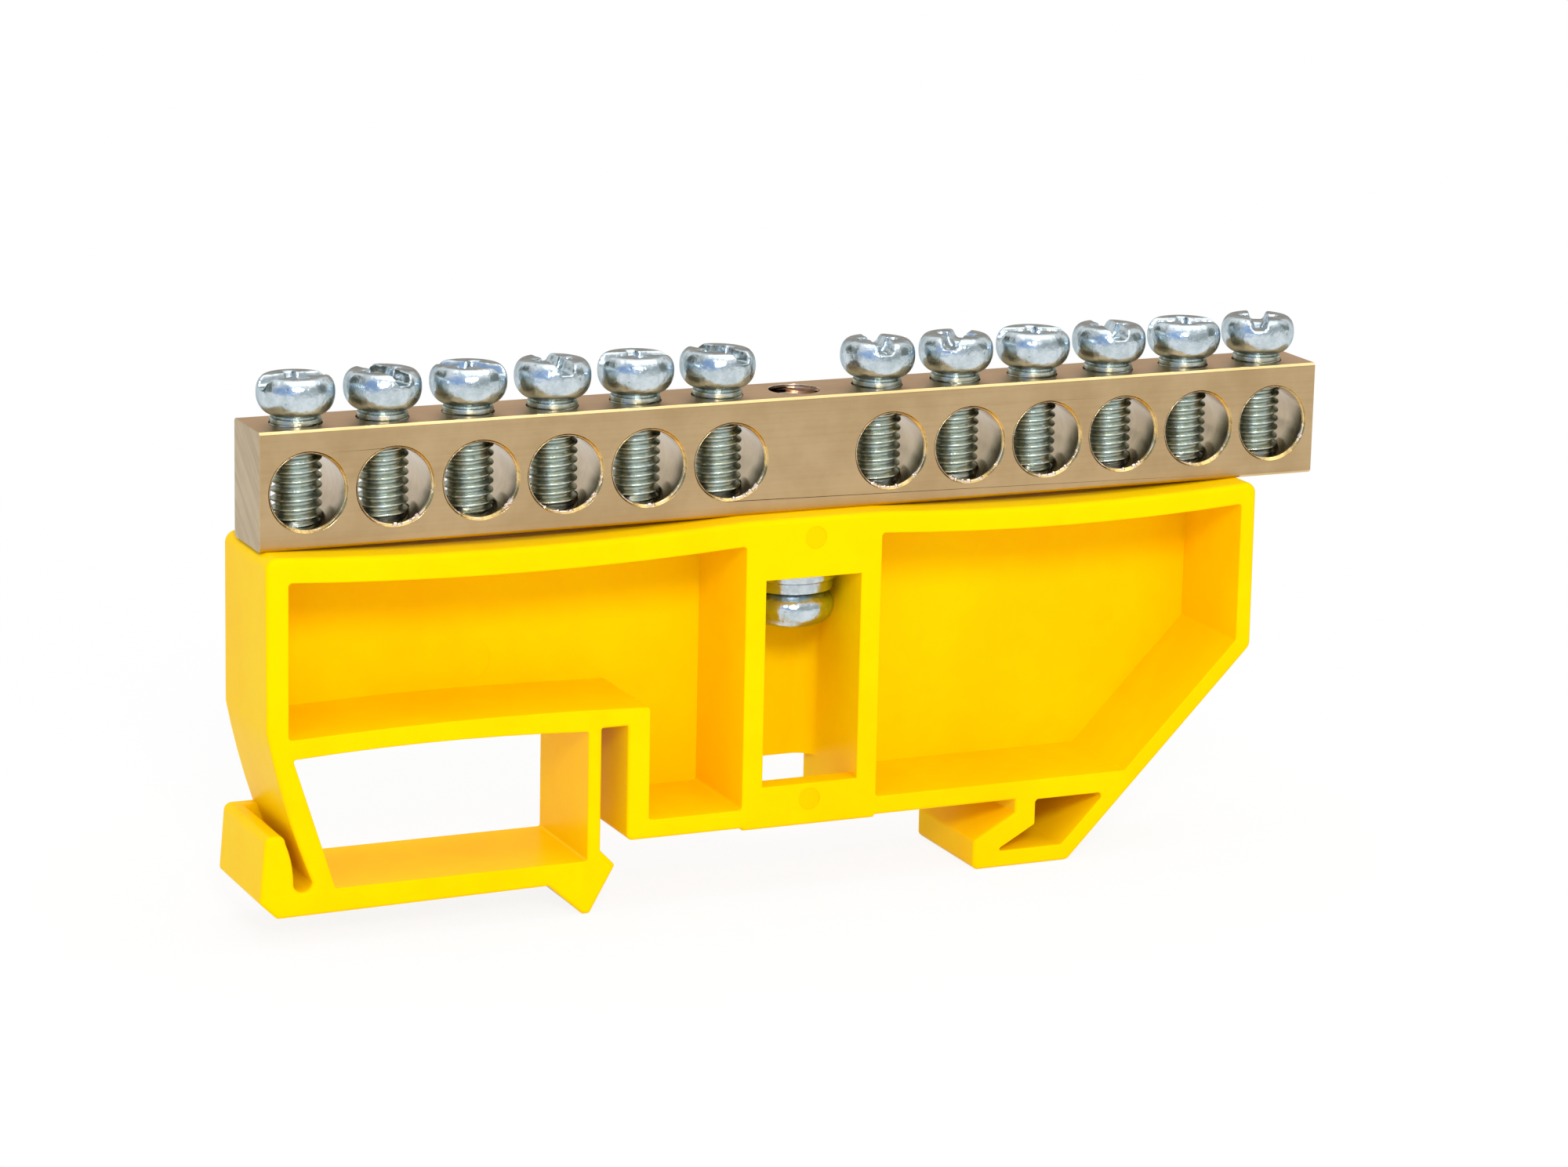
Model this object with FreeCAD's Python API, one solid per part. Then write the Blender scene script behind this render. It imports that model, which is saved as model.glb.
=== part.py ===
import FreeCAD, Part
import math
import os

# Earth terminal bar: a drilled brass bar with its clamp screws, fastened on a moulded holder
# that clips on a 35 mm rail. Millimetres.
# The origin lies in the plane of the face that seats on the rail, under the bar's middle.
# X runs along the bar, Y away from the open side of the holder's pockets, Z up from the rail.

# Rail that the holder clips on
rail_width = 35.0
rail_play = 0.35
rail_centre = -0.2

# Brass bar
place_count = 13
middle_place = 6
place_land = 0.85
wire_radius = 2.95
bar_floor = 1.35
bar_roof = 1.75
bar_depth = 6.0
bar_end = 0.375
bar_chamfer = 0.2

# Clamp screws, each turned as far as it was left
thread_radius = 1.95
thread_play = 0.05
head_radius = 2.95
head_height = 2.8
head_chamfer = 0.3
head_gap = 0.82
slot_width = 1.2
slot_depth = 0.85
tip_gap = 0.1
slot_turns = [7, 106, -40, 92, -5, 115, 79, 53, -15, 82, -17, 63]

# Mounting screw with its two washers, driven up into the bar from below
mount_offset = -0.3
mount_length = 12.0
mount_tip_chamfer = 0.4
mount_head_radius = 3.5
mount_head_height = 2.9
mount_slot_width = 1.1
mount_slot_depth = 1.2
washer_radius = 3.7
washer_bore_play = 0.2
washer_thickness = 0.9
spring_radius = 3.4
spring_thickness = 0.9
spring_split = 0.7
clearance_play = 0.3

# Holder: depth and walls
web = 1.0
web_gap = 0.4
side_wall = 1.7
right_wall = 1.35
block_wall = 1.7
latch_wall = 1.1
step_wall = 1.8
floor_wall = 1.5
top_wall_left = 1.95
top_wall_right = 1.7
slant_wall = 1.37
stem_wall = 1.77
lip_wall = 1.8
arm_wall = 1.55
rib_wall = 1.5
ceiling = 4.75

# Holder: places
seat_height = 24.5
seat_step = 0.2
seat_inset = 0.15
left_proud = 0.15
right_short = 6.05
washer_gap_left = 0.5
washer_gap_right = 0.1
sag_left = 0.6
sag_right = 0.55
rib_height = 10.65
rib_bow = 0.35
channel_width = 2.15
channel_roof = 1.35
shoulder_height = 11.05
front_lip_height = 3.35
front_lip_depth = 1.85
back_window_height = 3.1
corner_round = 0.9
pocket_round = 0.3
window_round = 0.2
block_round = 1.6

# Holder: what grips the rail, measured down from the seat
foot_depth = 5.25
hook_reach = 3.6
hook_heel = 4.8
hook_gap = 0.9
hook_drop = 2.0
hook_rib = 1.65
hook_floor = 1.35
finger_top = 1.05
finger_low = 3.0
finger_high = 2.73
nose_shoulder = 0.35
nose_reach = 1.22
nose_drop = 1.25
nose_flat = 0.55
nose_back = 3.35
nose_lean = 2.07

# Holder: spring arm, its finger tab and the slot for a screwdriver
arm_top = 11.4
arm_mid_height = 5.6
arm_mid_lean = 1.4
arm_lean = 3.4
arm_low = -0.15
tab_height = 3.4
tab_left_top = -0.15
tab_left_low = -0.55
tab_corner = 1.7
tab_chamfer = 1.35
tab_round = 0.6
tool_slot = 1.44
tool_slot_top = 0.85
tool_slot_round = 0.6
tool_slot_floor = 1.13
tool_slot_web = 1.2

# Worked out from the sizes above
place_pitch = 2 * max(wire_radius, head_radius) + place_land
bar_height = bar_floor + 2 * wire_radius + bar_roof
bar_length = place_count * place_pitch + 2 * bar_end
bar_top = seat_height + bar_height
wire_height = seat_height + bar_floor + wire_radius
bore_radius = thread_radius + thread_play
tip_height = wire_height - math.sqrt(wire_radius ** 2 - thread_radius ** 2) + tip_gap
body_depth = 2 * (washer_radius + web_gap + web)
front = -body_depth / 2
back = body_depth / 2
web_front = back - web
left_x = -bar_length / 2 - left_proud
right_x = bar_length / 2 - right_short
latch_x = rail_centre - (rail_width + rail_play) / 2
stem_x = rail_centre + (rail_width + rail_play) / 2
body_x = latch_x + channel_width
room_left = mount_offset - washer_radius - washer_gap_left
room_right = mount_offset + washer_radius + washer_gap_right
block_left = room_left - block_wall
block_right = room_right + block_wall
ceiling_height = seat_height - ceiling
pocket_floor = seat_step + floor_wall
heel_x = stem_x + hook_heel
clamp_places = [i for i in range(place_count) if i != middle_place]


def place_x(index):
    return (index - (place_count - 1) / 2) * place_pitch


def at(x, z, y=0.0):
    return FreeCAD.Vector(x, y, z)


def rounded_face(corners, y):
    """A face in the plane of this y. Each corner is x, z and its radius, and may add the point
    that the arc to the next corner passes through."""
    count = len(corners)
    starts = []
    ends = []
    edges = []
    for i in range(count):
        corner = at(corners[i][0], corners[i][1], y)
        radius = corners[i][2]
        if radius == 0:
            starts.append(corner)
            ends.append(corner)
            continue
        before = at(corners[i - 1][0], corners[i - 1][1], y) - corner
        after = at(corners[(i + 1) % count][0], corners[(i + 1) % count][1], y) - corner
        before.normalize()
        after.normalize()
        half = before.getAngle(after) / 2
        bisector = before + after
        bisector.normalize()
        middle = corner + bisector * (radius / math.sin(half) - radius)
        starts.append(corner + before * (radius / math.tan(half)))
        ends.append(corner + after * (radius / math.tan(half)))
        edges.append(Part.Arc(starts[i], middle, ends[i]).toShape())
    for i in range(count):
        following = starts[(i + 1) % count]
        if len(corners[i]) == 4:
            through = at(corners[i][3][0], corners[i][3][1], y)
            edges.append(Part.Arc(ends[i], through, following).toShape())
        else:
            edges.append(Part.makeLine(ends[i], following))
    return Part.Face(Part.Wire(Part.__sortEdges__(edges)))


def prism(corners, y_low, y_high):
    return rounded_face(corners, y_low).extrude(FreeCAD.Vector(0, y_high - y_low, 0))


def turned(corners):
    """A solid turned about Z from the r and z corners of its half outline."""
    outline = Part.makePolygon([at(r, z) for r, z in corners + corners[:1]])
    return Part.Face(outline).revolve(FreeCAD.Vector(0, 0, 0), FreeCAD.Vector(0, 0, 1), 360)


def circle_centre(a, b, c):
    """Centre of the circle through three x, z points."""
    d = 2 * (a[0] * (b[1] - c[1]) + b[0] * (c[1] - a[1]) + c[0] * (a[1] - b[1]))
    aa = a[0] ** 2 + a[1] ** 2
    bb = b[0] ** 2 + b[1] ** 2
    cc = c[0] ** 2 + c[1] ** 2
    x = (aa * (b[1] - c[1]) + bb * (c[1] - a[1]) + cc * (a[1] - b[1])) / d
    z = (aa * (c[0] - b[0]) + bb * (a[0] - c[0]) + cc * (b[0] - a[0])) / d
    return x, z


arm_upper = (left_x, arm_top)
arm_middle = (left_x + arm_mid_lean, arm_mid_height)
arm_lower = (left_x + arm_lean, arm_low)
arm_centre = circle_centre(arm_upper, arm_middle, arm_lower)
arm_radius = math.hypot(arm_centre[0] - arm_upper[0], arm_centre[1] - arm_upper[1])
slant_rise = (shoulder_height + foot_depth) / (right_x - heel_x)
slant_length = math.hypot(1, slant_rise)


def arm_x(z):
    """The spring arm's outer face at this height."""
    return arm_centre[0] - math.sqrt(arm_radius ** 2 - (z - arm_centre[1]) ** 2)


def slant_x(z, inset=0.0):
    """The holder's slanted side at this height, moved in by a wall."""
    return right_x + (z - shoulder_height - inset * slant_length) / slant_rise


def slant_z(x, inset=0.0):
    return shoulder_height + (x - right_x) * slant_rise + inset * slant_length


def hook_z(x, inset=0.0):
    """The top of the fixed hook, which slopes down from its stem, moved in by a wall."""
    rise = hook_drop / hook_reach
    return -hook_gap + (x - stem_x) * rise - inset * math.hypot(1, rise)


def bow(x_low, x_high, z, height, y_low, y_high):
    """The slice between a level chord and its arc, above the chord or, with a negative
    height, below it."""
    middle = (x_low + x_high) / 2
    return prism([(x_low, z, 0, (middle, z + height)), (x_high, z, 0)], y_low, y_high)


def holder_body():
    """The moulding's whole outline, from the corner by the bar's left end and clockwise."""
    tab_x = left_x + tab_left_low
    lip_x = stem_x - hook_reach
    corners = [
        (left_x, seat_height, corner_round),
        (right_x, seat_height, corner_round),
        (right_x, shoulder_height, corner_round),
        (heel_x, -foot_depth, 0.7),
        (lip_x, -foot_depth, 0.5),
        (lip_x, hook_z(lip_x), 0.3),
        (stem_x, hook_z(stem_x), 0.15),
        (stem_x, seat_step, 0.15),
        (block_right, seat_step, 0),
        (block_right - seat_inset, 0, 0),
        (block_left + seat_inset, 0, 0),
        (block_left, seat_step, 0),
        (body_x, seat_step, 0.5),
        (body_x, rib_height - channel_roof, 0.15),
        (latch_x, rib_height - channel_roof, 0.15),
        (latch_x, -nose_shoulder, 0.15),
        (latch_x + nose_reach, -nose_shoulder - nose_drop, 0.25),
        (latch_x + nose_reach - nose_lean, -foot_depth, 0.25),
        (latch_x + nose_reach - nose_lean - nose_flat, -foot_depth, 0.25),
        (latch_x + nose_reach - nose_lean - nose_back, -finger_high, 0.4),
        (tab_x + tab_chamfer, -finger_low, 0.4),
        (tab_x, -tab_corner, 0.4),
        (left_x + tab_left_top, tab_height, tab_round),
        (arm_x(tab_height), tab_height, 0, (arm_x(arm_top - 3), arm_top - 3)),
        (left_x, arm_top, 0),
    ]
    return prism(corners, front, back)


def left_pocket():
    step_x = body_x + step_wall
    high = seat_height - top_wall_left
    inner = left_x + side_wall
    corners = [
        (inner, high, pocket_round),
        (block_left, high, pocket_round),
        (block_left, pocket_floor, pocket_round),
        (step_x, pocket_floor, pocket_round),
        (step_x, rib_height, pocket_round),
        (inner, rib_height, pocket_round),
    ]
    pocket = prism(corners, front - 1, web_front)
    start = inner + pocket_round
    pocket = pocket.cut(bow(start, block_left - pocket_round, high, -sag_left, front - 1, web_front))
    return pocket.cut(bow(start, step_x - pocket_round, rib_height, rib_bow, front - 1, web_front))


def right_pocket():
    inner = right_x - right_wall
    high = seat_height - top_wall_right
    corners = [
        (block_right, high, pocket_round),
        (inner, high, pocket_round),
        (inner, slant_z(inner, slant_wall), pocket_round),
        (slant_x(pocket_floor, slant_wall), pocket_floor, pocket_round),
        (block_right, pocket_floor, pocket_round),
    ]
    pocket = prism(corners, front - 1, web_front)
    start = block_right + pocket_round
    return pocket.cut(bow(start, inner - pocket_round, high, -sag_right, front - 1, web_front))


def hook_pocket():
    high = pocket_floor - hook_rib
    low = -foot_depth + hook_floor
    inner = stem_x + stem_wall
    toe = inner - (hook_z(inner, lip_wall) - low) * hook_reach / hook_drop
    corners = [
        (inner, high, pocket_round),
        (slant_x(high, slant_wall), high, pocket_round),
        (slant_x(low, slant_wall), low, pocket_round),
        (toe, low, 0.15),
        (inner, hook_z(inner, lip_wall), 0.2),
    ]
    return prism(corners, front - 1, web_front)


def latch_window():
    high = rib_height - rib_wall
    low = -finger_top
    right = latch_x - latch_wall
    left_high = arm_x(high) + arm_wall
    corners = [
        (left_high, high, window_round),
        (right, high, window_round),
        (right, low, window_round),
        (arm_x(low) + arm_wall, low, window_round),
    ]
    window = prism(corners, front - 1, back + 1)
    start = left_high + 2 * window_round
    return window.fuse(bow(start, right - window_round, high, rib_bow, front - 1, back + 1))


def screw_room():
    """The compartment for the mounting screw: open at the front above a low lip, and open
    at the bottom behind that lip for a screwdriver."""
    width = room_right - room_left
    upper = Part.makeBox(width, web_front - front + 1, ceiling_height - front_lip_height)
    upper.translate(at(room_left, front_lip_height, front - 1))
    lower = Part.makeBox(width, web_front - front - front_lip_depth, front_lip_height + 1)
    lower.translate(at(room_left, -1, front + front_lip_depth))
    room = upper.fuse(lower).removeSplitter()
    back_edges = [e for e in room.Edges if is_upright_at(e, web_front)]
    room = room.makeFillet(block_round, back_edges)
    window = Part.makeBox(width, web + block_round + 1, back_window_height + 1)
    window.translate(at(room_left, -1, web_front - block_round))
    return room.fuse(window)


def is_upright_at(edge, y):
    points = [v.Point for v in edge.Vertexes]
    if len(points) != 2:
        return False
    same_y = all(abs(p.y - y) < 1e-6 for p in points)
    return same_y and abs(points[0].x - points[1].x) < 1e-6


def tool_slot_cut():
    """The slot between the arm and its tab, narrower at the top, where the tab's corner is
    rounded, and closed by a web at the back."""
    low = -tool_slot_floor + tool_slot / 2
    high = tab_height + 1
    shoulder = tab_height - tool_slot_round
    right = arm_x(low)
    left = right - tool_slot
    neck = arm_x(shoulder) - tool_slot_top
    corner = (neck - 0.3 * tool_slot_round, tab_height - 0.3 * tool_slot_round)
    edges = [
        Part.Arc(at(right, low), at(right - tool_slot / 2, low - tool_slot / 2), at(left, low)).toShape(),
        Part.Arc(at(right, low), at(arm_x(high / 2), high / 2), at(arm_x(high), high)).toShape(),
        Part.makeLine(at(arm_x(high), high), at(neck - tool_slot_round, high)),
        Part.makeLine(at(neck - tool_slot_round, high), at(neck - tool_slot_round, tab_height)),
        Part.Arc(at(neck - tool_slot_round, tab_height), at(corner[0], corner[1]), at(neck, shoulder)).toShape(),
        Part.Arc(at(neck, shoulder), at(left - 0.3 * (left - neck), shoulder / 2), at(left, low)).toShape(),
    ]
    face = Part.Face(Part.Wire(Part.__sortEdges__(edges)))
    face.translate(FreeCAD.Vector(0, front - 1, 0))
    return face.extrude(FreeCAD.Vector(0, body_depth + 1 - tool_slot_web, 0))


def rail_holder():
    """One moulding: the two pockets, the screw's compartment, the fixed hook, and the latch
    with its spring arm."""
    body = holder_body()
    body = body.cut(bow(left_x + corner_round, block_left, seat_height, -sag_left, front - 1, back + 1))
    body = body.cut(bow(block_right, right_x - corner_round, seat_height, -sag_right, front - 1, back + 1))
    for hollow in (left_pocket(), right_pocket(), hook_pocket(), latch_window(), screw_room(), tool_slot_cut()):
        body = body.cut(hollow)
    hole = Part.makeCylinder(thread_radius + clearance_play, ceiling + 2)
    hole.translate(at(mount_offset, ceiling_height - 1))
    return body.cut(hole).removeSplitter()


def terminal_bar():
    """Square brass bar, cross-drilled for the wires and tapped from above for the screws. The
    middle place has no wire hole: it is tapped right through for the mounting screw."""
    bar = Part.makeBox(bar_length, bar_depth, bar_height)
    bar.translate(at(-bar_length / 2, seat_height, -bar_depth / 2))
    long_edges = [e for e in bar.Edges if abs(e.Length - bar_length) < 1e-6]
    bar = bar.makeChamfer(bar_chamfer, long_edges)
    for index in clamp_places:
        start = at(place_x(index), wire_height, -bar_depth / 2 - 1)
        wire_hole = Part.makeCylinder(wire_radius, bar_depth + 2, start, FreeCAD.Vector(0, 1, 0))
        tapped = Part.makeCylinder(bore_radius, bar_top + 1 - wire_height)
        tapped.translate(at(place_x(index), wire_height))
        bar = bar.cut(wire_hole).cut(tapped)
    middle = Part.makeCylinder(bore_radius, bar_height + 2)
    middle.translate(at(mount_offset, seat_height - 1))
    return bar.cut(middle)


def slot_box(radius, height, width, depth):
    """A straight slot across the top of a head."""
    slot = Part.makeBox(2 * radius + 2, width, depth + 1)
    slot.translate(at(-radius - 1, height - depth, -width / 2))
    return slot


def clamp_screw():
    """A clamp screw with its axis on Z and the underside of its head at z 0."""
    length = bar_top + head_gap - tip_height
    screw = turned([
        (0, head_height),
        (head_radius - head_chamfer, head_height),
        (head_radius, head_height - head_chamfer),
        (head_radius, 0),
        (thread_radius, 0),
        (thread_radius, -length),
        (0, -length),
    ])
    return screw.cut(slot_box(head_radius, head_height, slot_width, slot_depth))


def mounting_screw():
    """The screw that fastens the bar, upside down, with its head under the two washers."""
    underside = ceiling_height - washer_thickness - spring_thickness
    screw = turned([
        (0, mount_head_height),
        (mount_head_radius - head_chamfer, mount_head_height),
        (mount_head_radius, mount_head_height - head_chamfer),
        (mount_head_radius, 0),
        (thread_radius, 0),
        (thread_radius, -mount_length + mount_tip_chamfer),
        (thread_radius - mount_tip_chamfer, -mount_length),
        (0, -mount_length),
    ])
    screw = screw.cut(slot_box(mount_head_radius, mount_head_height, mount_slot_width, mount_slot_depth))
    screw.rotate(FreeCAD.Vector(0, 0, 0), FreeCAD.Vector(1, 0, 0), 180)
    screw.translate(at(mount_offset, underside))
    return screw


def ring(radius, thickness, top):
    outer = Part.makeCylinder(radius, thickness)
    inner = Part.makeCylinder(thread_radius + washer_bore_play, thickness + 2)
    inner.translate(at(0, -1))
    washer = outer.cut(inner)
    washer.translate(at(mount_offset, top - thickness))
    return washer


def flat_washer():
    return ring(washer_radius, washer_thickness, ceiling_height)


def spring_washer():
    """A split ring, pressed flat, with its slanting gap at the back."""
    top = ceiling_height - washer_thickness
    washer = ring(spring_radius, spring_thickness, top)
    gap = Part.makeBox(spring_split, spring_radius + 1, 2 * spring_thickness)
    gap.translate(at(-spring_split / 2, -spring_thickness))
    gap.rotate(FreeCAD.Vector(0, 0, 0), FreeCAD.Vector(0, 1, 0), 30)
    gap.translate(at(mount_offset, top - spring_thickness / 2))
    return washer.cut(gap)


def write(shape, node):
    if len(shape.Solids) == 1:
        shape = shape.Solids[0]
    shape.exportStep("parts/" + node + ".step")


os.makedirs("parts", exist_ok=True)
write(rail_holder(), "rail_holder")
write(terminal_bar(), "terminal_bar")
write(mounting_screw(), "mounting_screw")
write(flat_washer(), "flat_washer")
write(spring_washer(), "spring_washer")
for number, index in enumerate(clamp_places, start=1):
    screw = clamp_screw()
    screw.rotate(FreeCAD.Vector(0, 0, 0), FreeCAD.Vector(0, 0, 1), slot_turns[(number - 1) % len(slot_turns)])
    screw.translate(at(place_x(index), bar_top + head_gap))
    write(screw, "clamp_screw_%02d" % number)
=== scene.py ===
# %% [markdown]
# # An earth terminal bar on its rail holder
#
# In a distribution board all the green-and-yellow wires end on one brass bar. The bar is drilled
# across for the wires and tapped from above for the clamp screws, and it sits on a moulded holder
# that clips on a 35 mm rail. The holder, the bar and the screws are already solids in a packed
# frame. This lesson loads that frame and dresses each solid with the edges, threads and finishes
# that the real pieces have.
#
# The frame comes first, because every later piece is placed and carried by its bodies.

# %% Load the frame
import math

import bmesh
import bpy
from mathutils import Matrix, Vector, noise


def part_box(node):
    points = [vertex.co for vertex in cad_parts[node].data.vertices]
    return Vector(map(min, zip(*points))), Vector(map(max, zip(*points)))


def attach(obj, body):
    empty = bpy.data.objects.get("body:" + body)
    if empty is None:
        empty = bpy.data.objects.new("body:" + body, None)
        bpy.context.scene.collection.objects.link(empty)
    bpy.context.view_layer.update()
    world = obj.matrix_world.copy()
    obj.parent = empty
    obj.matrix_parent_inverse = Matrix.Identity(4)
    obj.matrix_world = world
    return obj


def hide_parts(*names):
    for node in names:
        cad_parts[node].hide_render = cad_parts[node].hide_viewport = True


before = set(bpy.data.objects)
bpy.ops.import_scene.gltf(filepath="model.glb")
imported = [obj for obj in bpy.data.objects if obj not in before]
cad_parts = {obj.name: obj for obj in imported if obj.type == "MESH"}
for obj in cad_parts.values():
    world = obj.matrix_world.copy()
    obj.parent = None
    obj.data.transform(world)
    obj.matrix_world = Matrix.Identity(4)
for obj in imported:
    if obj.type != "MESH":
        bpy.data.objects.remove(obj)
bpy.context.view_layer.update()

# %% [markdown]
# ## Millimetres
#
# A drawing of such a part is in millimetres, and Blender's unit is the metre. It could all be
# modelled a thousand times too large and shrunk at the end, but then the pieces wouldn't lie in
# the frame. So each builder below works in millimetres inside a bmesh and scales once, when the
# mesh is made.

# %% Units and places
MM = 0.001
PITCH = 6.75
PLACES = [index for index in range(-6, 7) if index != 0]
BAR_TOP = 33.5
BAR_FRONT = -3.0
WIRE_HEIGHT = 28.8
MOUNT_X = -0.3
FLOOR_HEIGHT = -5.25


def corners_in_mm(node):
    low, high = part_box(node)
    return low / MM, high / MM


print("bar from", corners_in_mm("terminal_bar"))

# %% [markdown]
# ## From a bmesh to a piece
#
# A piece is a mesh, the material slot of its finish, the body that it rides on and the solids
# that it stands for. One helper does the four together, so that none is forgotten.
#
# Smooth shading mixes the directions of the faces that meet at a corner. A plain mix lets a tiny
# rounded edge tint the wide flat beside it. Here each face counts by its area, and faces that
# meet at more than the given angle don't mix at all, so flats stay flat and edges crisp.


# %% Helpers for pieces
def finished_mesh(bm, name, finishes, crisp=35.0):
    bmesh.ops.scale(bm, vec=(MM, MM, MM), verts=bm.verts)
    mesh = bpy.data.meshes.new(name)
    bm.to_mesh(mesh)
    bm.free()
    for finish in finishes:
        mesh.materials.append(finish.material)
    mesh.shade_smooth()
    mesh.normals_split_custom_set(steady_normals(mesh, math.cos(math.radians(crisp))))
    return mesh


def steady_normals(mesh, limit):
    """A direction for each corner of each face, ruled by the widest of the faces that share it."""
    around = [[] for _ in mesh.vertices]
    for face in mesh.polygons:
        places = [mesh.vertices[index].co for index in face.vertices]
        for turn, index in enumerate(face.vertices):
            before = places[turn - 1] - places[turn]
            after = places[(turn + 1) % len(places)] - places[turn]
            around[index].append((face.normal.copy(), before.angle(after, 0.0) * face.area))
    corners = []
    for face in mesh.polygons:
        for index in face.vertices:
            near = [way * weight for way, weight in around[index] if way.dot(face.normal) > limit]
            corners.append(sum(near, face.normal * 1e-15).normalized())
    return corners


def add_piece(name, mesh, body, nodes, place=None):
    piece = bpy.data.objects.new(name, mesh)
    bpy.context.collection.objects.link(piece)
    if place is not None:
        piece.matrix_world = place
    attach(piece, body)
    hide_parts(*nodes)
    print(name, "rides on", body, "with", len(mesh.polygons), "faces")


# %% [markdown]
# ## Modifiers as tools
#
# Cuts and rounded edges could be made face by face, but Boolean and Bevel make them from a plain
# shape and a cutter, and Remesh and Smooth soften what a press has formed. They work on objects,
# so this helper puts a mesh in a spare object, lets the modifiers run, and hands back the result
# as a plain mesh with nothing left on it.


# %% A workbench for modifiers
SHARP_ANGLE = 30
SMOOTHINGS = 4


def worked(bm, cutters=(), edge=0.0, steps=3, soft=0.0):
    """Cuts the cutters from the shape. With edge it then rounds the sharp edges by that much,
    and with soft it covers the shape with squares that wide and smooths them."""
    spare = []
    for part in [bm, *cutters]:
        mesh = bpy.data.meshes.new("bench")
        part.to_mesh(mesh)
        part.free()
        thing = bpy.data.objects.new("bench", mesh)
        bpy.context.collection.objects.link(thing)
        spare.append(thing)
    work = spare[0]
    for cutter in spare[1:]:
        cut = work.modifiers.new("cut", "BOOLEAN")
        cut.operation = "DIFFERENCE"
        cut.solver = "EXACT"
        cut.object = cutter
    if edge > 0:
        round_off = work.modifiers.new("round", "BEVEL")
        round_off.width = edge
        round_off.segments = steps
        round_off.limit_method = "ANGLE"
        round_off.angle_limit = math.radians(SHARP_ANGLE)
        round_off.use_clamp_overlap = False
    if soft > 0:
        skin = work.modifiers.new("skin", "REMESH")
        skin.mode = "VOXEL"
        skin.voxel_size = soft
        calm = work.modifiers.new("calm", "SMOOTH")
        calm.factor = 0.5
        calm.iterations = SMOOTHINGS
    bpy.context.view_layer.update()
    result = bmesh.new()
    depsgraph = bpy.context.evaluated_depsgraph_get()
    mesh = bpy.data.meshes.new_from_object(work.evaluated_get(depsgraph))
    result.from_mesh(mesh)
    bpy.data.meshes.remove(mesh)
    for thing in spare:
        left = thing.data
        bpy.data.objects.remove(thing)
        bpy.data.meshes.remove(left)
    return result


def solid_of(node):
    """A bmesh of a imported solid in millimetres, with its corners joined."""
    bm = bmesh.new()
    bm.from_mesh(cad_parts[node].data)
    bmesh.ops.scale(bm, vec=(1 / MM, 1 / MM, 1 / MM), verts=bm.verts)
    bmesh.ops.remove_doubles(bm, verts=bm.verts, dist=0.0005)
    return bm


def joined(bm, other):
    """Adds the other bmesh to the first one."""
    mesh = bpy.data.meshes.new("joined")
    other.to_mesh(mesh)
    other.free()
    bm.from_mesh(mesh)
    bpy.data.meshes.remove(mesh)


def box_cutter(low, high):
    bm = bmesh.new()
    bmesh.ops.create_cube(bm, size=1)
    middle = (Vector(low) + Vector(high)) / 2
    size = Vector(high) - Vector(low)
    bmesh.ops.scale(bm, vec=size, verts=bm.verts)
    bmesh.ops.translate(bm, vec=middle, verts=bm.verts)
    return bm


def round_cutter(start, along, radius, segments=64):
    """A cylinder from start, as long as the vector along."""
    bm = bmesh.new()
    along = Vector(along)
    bmesh.ops.create_cone(
        bm, cap_ends=True, segments=segments, radius1=radius, radius2=radius, depth=along.length
    )
    turn = along.to_track_quat("Z", "Y").to_matrix().to_4x4()
    middle = Matrix.Translation(Vector(start) + along / 2)
    bmesh.ops.transform(bm, matrix=middle @ turn, verts=bm.verts)
    return bm


print("bench ready")

# %% [markdown]
# ## Sums on shader sockets
#
# A finish is a small sum: this noise times that, one minus a mask. In the node editor such a sum
# is a row of Math nodes. Here a class wraps an output socket, and the signs + - * / make those
# nodes, so a finish reads as the sum that it is. Every other node comes from one method.


# %% The shader notation
class Tone:
    """A number or colour that comes out of a node."""

    def __init__(self, finish, socket):
        self.finish = finish
        self.socket = socket

    def maths(self, operation, first, second):
        return self.finish.node("ShaderNodeMath", {"operation": operation}, {0: first, 1: second})

    def __add__(self, other):
        return self.maths("ADD", self, other)

    def __radd__(self, other):
        return self.maths("ADD", other, self)

    def __sub__(self, other):
        return self.maths("SUBTRACT", self, other)

    def __rsub__(self, other):
        return self.maths("SUBTRACT", other, self)

    def __mul__(self, other):
        return self.maths("MULTIPLY", self, other)

    def __rmul__(self, other):
        return self.maths("MULTIPLY", other, self)


class Shading:
    """A node tree in the making, of a material or of the world."""

    def __init__(self, owner):
        owner.use_nodes = True
        self.tree = owner.node_tree
        self.tree.nodes.clear()

    def node(self, kind, settings=None, inputs=None, output=0):
        """Adds a node, gives it its settings and then its values or links."""
        made = self.tree.nodes.new(kind)
        for key, value in (settings or {}).items():
            setattr(made, key, value)
        for key, value in (inputs or {}).items():
            if isinstance(value, Tone):
                self.tree.links.new(value.socket, made.inputs[key])
            else:
                made.inputs[key].default_value = value
        return None if output is None else Tone(self, made.outputs[output])

    def ranged(self, value, low, high):
        """A smooth step from 0 at low to 1 at high, which may be the smaller of the two."""
        inputs = {"Value": value, "From Min": low, "From Max": high}
        settings = {"interpolation_type": "SMOOTHSTEP"}
        return self.node("ShaderNodeMapRange", settings, inputs, "Result")

    def blended(self, mask, first, second):
        """The first colour where the mask is 0, and the second where it is 1."""
        inputs = {0: mask, 6: first if isinstance(first, Tone) else (*first, 1)}
        inputs[7] = second if isinstance(second, Tone) else (*second, 1)
        return self.node("ShaderNodeMix", {"data_type": "RGBA"}, inputs, 2)

    def ended(self, shader, kind="ShaderNodeOutputMaterial"):
        self.node(kind, None, {"Surface": shader}, None)


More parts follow.
